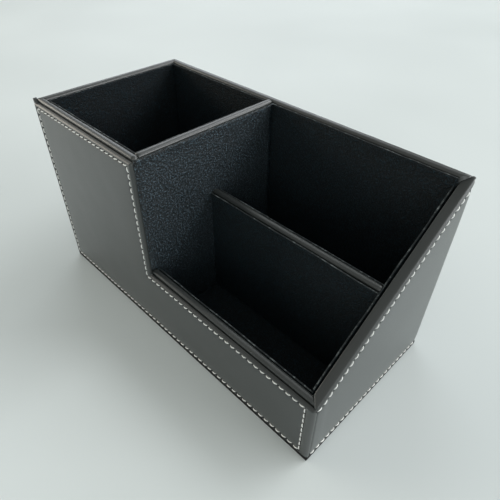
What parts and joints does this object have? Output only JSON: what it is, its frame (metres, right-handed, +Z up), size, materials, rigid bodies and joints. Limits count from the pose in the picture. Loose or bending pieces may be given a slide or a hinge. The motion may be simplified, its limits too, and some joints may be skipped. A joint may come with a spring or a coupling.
{
  "type": "stationery box",
  "caption": "Open-top desk stationery box in stitched leatherette: a tall pen bay beside low bays split by a low divider, stepped front and sloping end.",
  "frame": {"origin": "centre of the underside of the felt pad, in the plane that the box stands on", "axes": "+X along the front to the right, from the tall bay to the low end; +Y from the front to the back; +Z up"},
  "size_m": [0.2158, 0.1028, 0.117],
  "materials": {
    "felt": "matt felt",
    "board": "raw pressed board",
    "rim_leatherette": "satin, smooth grain",
    "facing_leatherette": "satin, very fine grain",
    "lining": "short black nap",
    "thread": "waxed thread"
  },
  "bodies": {
    "root": {"base_pad": "felt", "base_board": "board", "front_board": "board", "back_board": "board", "left_board": "board", "right_board": "board", "cross_divider_board": "board", "low_divider_board": "board", "front_wrap": "rim_leatherette", "back_wrap": "rim_leatherette", "left_wrap": "rim_leatherette", "right_wrap": "rim_leatherette", "cross_divider_wrap": "rim_leatherette", "low_divider_wrap": "rim_leatherette", "front_facing": "facing_leatherette", "side_facing": "facing_leatherette", "pen_front_lining": "lining", "pen_back_lining": "lining", "pen_left_lining": "lining", "pen_right_lining": "lining", "pen_floor_lining": "lining", "step_lining": "lining", "bay_back_lining": "lining", "bay_right_lining": "lining", "lip_lining": "lining", "divider_front_lining": "lining", "divider_back_lining": "lining", "front_floor_lining": "lining", "back_floor_lining": "lining", "front_stitching": "thread", "right_stitching": "thread", "left_stitching": "thread", "back_stitching": "thread"}
  },
  "joints": []
}
